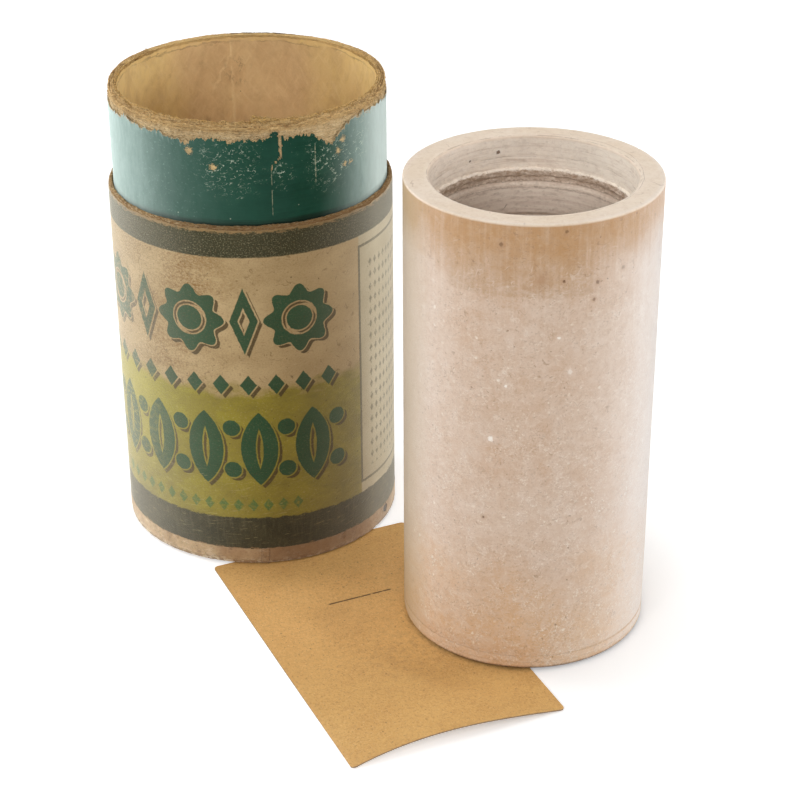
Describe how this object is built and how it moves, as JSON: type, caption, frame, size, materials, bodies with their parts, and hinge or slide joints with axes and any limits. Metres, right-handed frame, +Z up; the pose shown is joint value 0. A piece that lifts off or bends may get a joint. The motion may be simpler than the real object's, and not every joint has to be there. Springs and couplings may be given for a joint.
{
  "type": "phonograph cylinder with carton and title slip",
  "caption": "Moulded wax phonograph cylinder with its paper-covered board carton, open at the neck, and the title slip that both stand on; the record lifts off and the slip draws out.",
  "frame": {"origin": "middle of the set's footprint, on the table that the slip lies on", "axes": "+Z up along the axes of the record and the carton, +Y to the back of the set, +X to the right"},
  "size_m": [0.125, 0.147, 0.1126],
  "materials": {
    "wax": "satin moulded wax with pale bloom",
    "strawboard": "raw layered strawboard",
    "lining_paper": "matt stained lining paper",
    "glazed_paper": "glossy glazed cover paper, worn",
    "label_paper": "satin printed paper, foxed",
    "edging_paper": "matt edging paper, soiled",
    "manila_card": "matt manila card"
  },
  "bodies": {
    "carton": {"inner_tube": "strawboard", "inner_lining": "lining_paper", "neck_paper": "glazed_paper", "outer_tube": "strawboard", "label_wrap": "label_paper", "foot_strip": "edging_paper", "base_disc": "strawboard", "base_paper": "edging_paper"},
    "record": {"record": "wax"},
    "slip": {"title_slip": "manila_card"}
  },
  "joints": [
    {"name": "record_lift", "type": "slide", "parent": "carton", "child": "record", "axis": [0, 0, 1], "range_m": [0, 0.13]},
    {"name": "slip_draw", "type": "slide", "parent": "carton", "child": "slip", "axis": [0.4067, -0.9135, 0], "range_m": [0, 0.1]}
  ]
}
